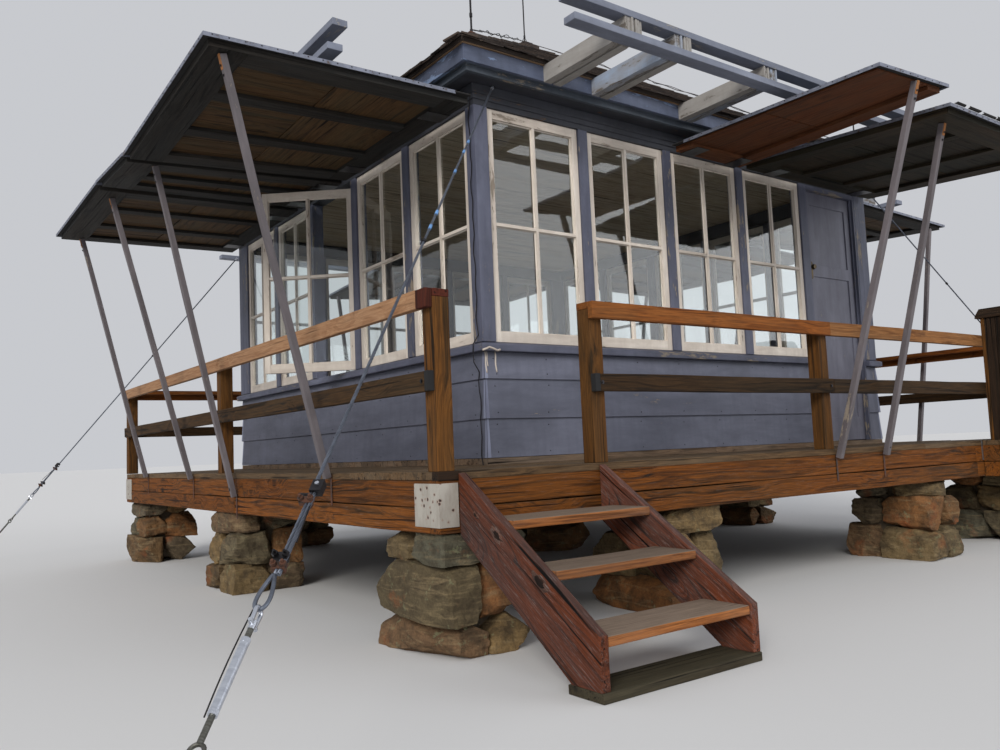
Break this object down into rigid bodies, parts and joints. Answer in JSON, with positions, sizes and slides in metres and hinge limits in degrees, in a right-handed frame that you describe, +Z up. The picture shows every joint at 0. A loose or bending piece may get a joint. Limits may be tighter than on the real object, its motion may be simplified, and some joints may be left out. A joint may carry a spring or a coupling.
{
  "type": "fire lookout cab",
  "caption": "Glazed timber fire lookout cab on stone piers, with a railed deck, open steps, propped shutters, a rack over the eaves, a hip roof and guy cables.",
  "frame": {"origin": "on the ground under the middle of the cab, at the foot of the middle pier", "axes": "X runs right along the door wall as seen from outside, Y runs in through the door wall to the back, Z is up"},
  "size_m": [9.1901, 9.1588, 5.5406],
  "materials": {
    "field_stone": "rough",
    "heavy_timber": "weathered",
    "stair_timber": "weathered",
    "tread_board": "weathered",
    "deck_board": "weathered",
    "rail_timber": "weathered",
    "lap_siding": "matte paint",
    "grey_trim": "matte paint",
    "white_trim": "flaking paint",
    "fascia_paint": "flaking paint",
    "shingle": "weathered",
    "shutter_board": "weathered",
    "strut_paint": "weathered paint",
    "rack_paint": "flaking paint",
    "pane": "clear",
    "plate_paint": "flaking paint",
    "zinc_steel": "weathered zinc",
    "dark_iron": "rusted",
    "brass_latch": "tarnished"
  },
  "bodies": {
    "cab": {"rock_piers": "field_stone", "rim_front_back": "heavy_timber", "rim_sides": "heavy_timber", "corner_plates": "plate_paint", "floor_joists": "heavy_timber", "deck_front_back": "deck_board", "deck_sides": "deck_board", "stair_stringers": "stair_timber", "stair_treads": "tread_board", "stair_foot_plate": "stair_timber", "railing_posts": "rail_timber", "capped_post": "rail_timber", "post_block": "heavy_timber", "railing_front_back": "rail_timber", "railing_left": "rail_timber", "railing_right": "rail_timber", "cab_floor": "deck_board", "front_wall": "lap_siding", "front_wall_by_door": "lap_siding", "left_wall": "lap_siding", "back_wall": "lap_siding", "right_wall": "lap_siding", "sills_front_back": "grey_trim", "sills_sides": "grey_trim", "heads_front_back": "grey_trim", "heads_sides": "grey_trim", "corner_posts": "grey_trim", "window_posts": "grey_trim", "front_sashes": "white_trim", "left_sashes": "white_trim", "back_sashes": "white_trim", "right_sashes": "white_trim", "window_glass": "pane", "door_jambs": "grey_trim", "door_head": "grey_trim", "door_hinges": "dark_iron", "eaves": "fascia_paint", "ceiling": "grey_trim", "roof": "shingle", "lightning_rods": "dark_iron", "front_shutters": "shutter_board", "left_shutters": "shutter_board", "back_shutters": "shutter_board", "right_shutters": "shutter_board", "shutter_struts": "strut_paint", "rack_front_back": "rack_paint", "rack_sides": "rack_paint", "guy_cables": "zinc_steel", "guy_turnbuckles": "zinc_steel", "guy_anchors": "dark_iron"},
    "door": {"door_leaf": "lap_siding", "door_latch": "brass_latch"}
  },
  "joints": [
    {"name": "door_hinge", "type": "hinge", "parent": "cab", "child": "door", "pos_m": [1.9445, -2.0435, 1.95], "axis": [0, 0, -1], "range_deg": [0, 90]}
  ]
}
